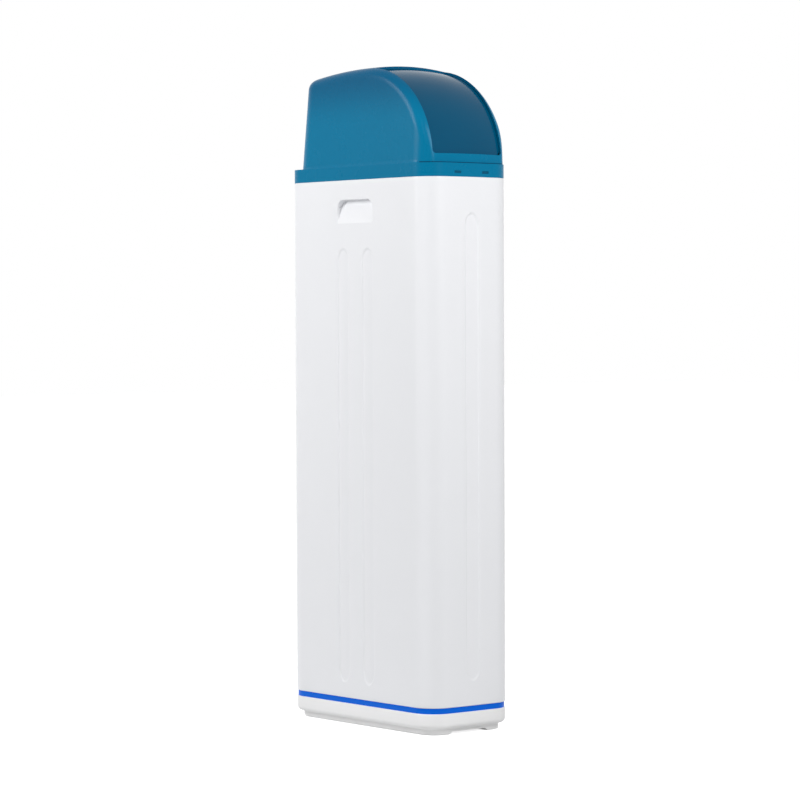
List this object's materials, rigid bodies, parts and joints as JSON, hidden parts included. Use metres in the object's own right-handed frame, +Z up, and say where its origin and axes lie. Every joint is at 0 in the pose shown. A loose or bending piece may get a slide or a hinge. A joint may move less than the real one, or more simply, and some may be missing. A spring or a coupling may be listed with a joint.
{
  "type": "cabinet water softener",
  "caption": "Slim upright water softener: white salt cabinet with a pressure vessel and control valve inside, under a blue hood with a curved tinted visor.",
  "frame": {"origin": "centre of the footprint on the floor", "axes": "+Z up, the narrow front towards -Y, the broad sides towards -X and +X, pipes at the back towards +Y"},
  "size_m": [0.2, 0.42, 1.2002],
  "materials": {
    "cabinet_white": "smooth satin",
    "base_white": "satin",
    "stripe_blue": "satin",
    "hood_blue": "smooth satin",
    "visor_tint": "clear tinted gloss",
    "inner_grey": "satin",
    "grey_plastic": "satin",
    "black_plastic": "fine grain",
    "vessel_blue": "satin",
    "ceramic": "polished",
    "rubber": "matte",
    "steel": "bright",
    "lens": "gloss",
    "board_green": "satin",
    "hose_white": "satin"
  },
  "bodies": {
    "cabinet": {"accent_stripe": "stripe_blue", "bottom_distributor": "grey_plastic", "brine_fitting": "black_plastic", "brine_hose": "hose_white", "brine_pickup": "grey_plastic", "brine_well": "cabinet_white", "bypass_body": "black_plastic", "cabinet_base": "base_white", "cabinet_body": "cabinet_white", "circuit_board": "board_green", "display_frame": "grey_plastic", "display_window": "lens", "drain_fitting": "black_plastic", "drive_motor": "steel", "fixed_disc": "ceramic", "float_rod": "grey_plastic", "head_base": "black_plastic", "head_cover": "black_plastic", "head_screws": "steel", "injector": "grey_plastic", "injector_cap": "black_plastic", "motor_bracket": "black_plastic", "neck_gasket": "rubber", "overflow_fitting": "black_plastic", "overflow_nut": "black_plastic", "pickup_foot": "grey_plastic", "port_seals": "rubber", "power_inlet": "black_plastic", "pressure_vessel": "vessel_blue", "riser_tube": "grey_plastic", "safety_shutoff": "grey_plastic", "salt_lid_pin": "steel", "salt_platform": "cabinet_white", "top_deck": "inner_grey", "top_distributor": "grey_plastic", "turbine_cage": "grey_plastic", "union_nuts": "black_plastic", "valve_body": "black_plastic", "valve_cover": "black_plastic", "vessel_foot": "black_plastic"},
    "hood": {"hood": "hood_blue", "hood_clips": "hood_blue", "visor_pins": "grey_plastic"},
    "visor": {"visor": "visor_tint"},
    "salt_lid": {"salt_lid": "cabinet_white"},
    "well_cap": {"brine_well_cap": "base_white"},
    "float": {"float": "inner_grey"},
    "menu_button": {"menu_button": "grey_plastic"},
    "down_button": {"down_button": "grey_plastic"},
    "up_button": {"up_button": "grey_plastic"},
    "enter_button": {"enter_button": "grey_plastic"},
    "inlet_valve": {"inlet_rotor": "black_plastic", "inlet_lever": "grey_plastic"},
    "outlet_valve": {"outlet_rotor": "black_plastic", "outlet_lever": "grey_plastic"},
    "valve_rotor": {"drive_gear": "base_white", "drive_shaft": "black_plastic", "moving_disc": "ceramic"},
    "pinion": {"motor_pinion": "base_white"},
    "turbine": {"flow_turbine": "grey_plastic"}
  },
  "joints": [
    {"name": "hood_lift", "type": "slide", "parent": "cabinet", "child": "hood", "axis": [0, 0, 1], "range_m": [0, 0.25]},
    {"name": "visor_hinge", "type": "hinge", "parent": "hood", "child": "visor", "pos_m": [0, -0.0206, 1.0157], "axis": [-1, 0, 0], "range_deg": [0, 55]},
    {"name": "salt_lid_hinge", "type": "hinge", "parent": "cabinet", "child": "salt_lid", "pos_m": [-0.035, -0.019, 0.995], "axis": [-1, 0, 0], "range_deg": [0, 85]},
    {"name": "well_cap_lift", "type": "slide", "parent": "cabinet", "child": "well_cap", "axis": [0, 0, 1], "range_m": [0, 0.045]},
    {"name": "float_rise", "type": "slide", "parent": "cabinet", "child": "float", "axis": [0, 0, 1], "range_m": [0, 0.15]},
    {"name": "menu_button_press", "type": "slide", "parent": "cabinet", "child": "menu_button", "axis": [0, 0.6428, -0.766], "range_m": [0, 0.0012], "stiffness_N_per_m": 300},
    {"name": "down_button_press", "type": "slide", "parent": "cabinet", "child": "down_button", "axis": [0, 0.6428, -0.766], "range_m": [0, 0.0012], "stiffness_N_per_m": 300},
    {"name": "up_button_press", "type": "slide", "parent": "cabinet", "child": "up_button", "axis": [0, 0.6428, -0.766], "range_m": [0, 0.0012], "stiffness_N_per_m": 300},
    {"name": "enter_button_press", "type": "slide", "parent": "cabinet", "child": "enter_button", "axis": [0, 0.6428, -0.766], "range_m": [0, 0.0012], "stiffness_N_per_m": 300},
    {"name": "inlet_lever_turn", "type": "hinge", "parent": "cabinet", "child": "inlet_valve", "pos_m": [-0.032, 0.178, 1.05], "axis": [0, 0, 1], "range_deg": [0, 90]},
    {"name": "outlet_lever_turn", "type": "hinge", "parent": "cabinet", "child": "outlet_valve", "pos_m": [0.032, 0.178, 1.05], "axis": [0, 0, 1], "range_deg": [0, 90]},
    {"name": "valve_drive", "type": "hinge", "parent": "cabinet", "child": "valve_rotor", "pos_m": [0, 0.105, 1.056], "axis": [0, 0, 1], "continuous": true},
    {"name": "pinion_spin", "type": "hinge", "parent": "cabinet", "child": "pinion", "pos_m": [-0.03637, 0.126, 1.056], "axis": [0, 0, 1], "continuous": true},
    {"name": "turbine_spin", "type": "hinge", "parent": "cabinet", "child": "turbine", "pos_m": [0.032, 0.146, 1.026], "axis": [0, 1, 0], "continuous": true}
  ],
  "couplings": [
    {"joint": "pinion_spin", "follows": "valve_drive", "ratio": -3}
  ]
}
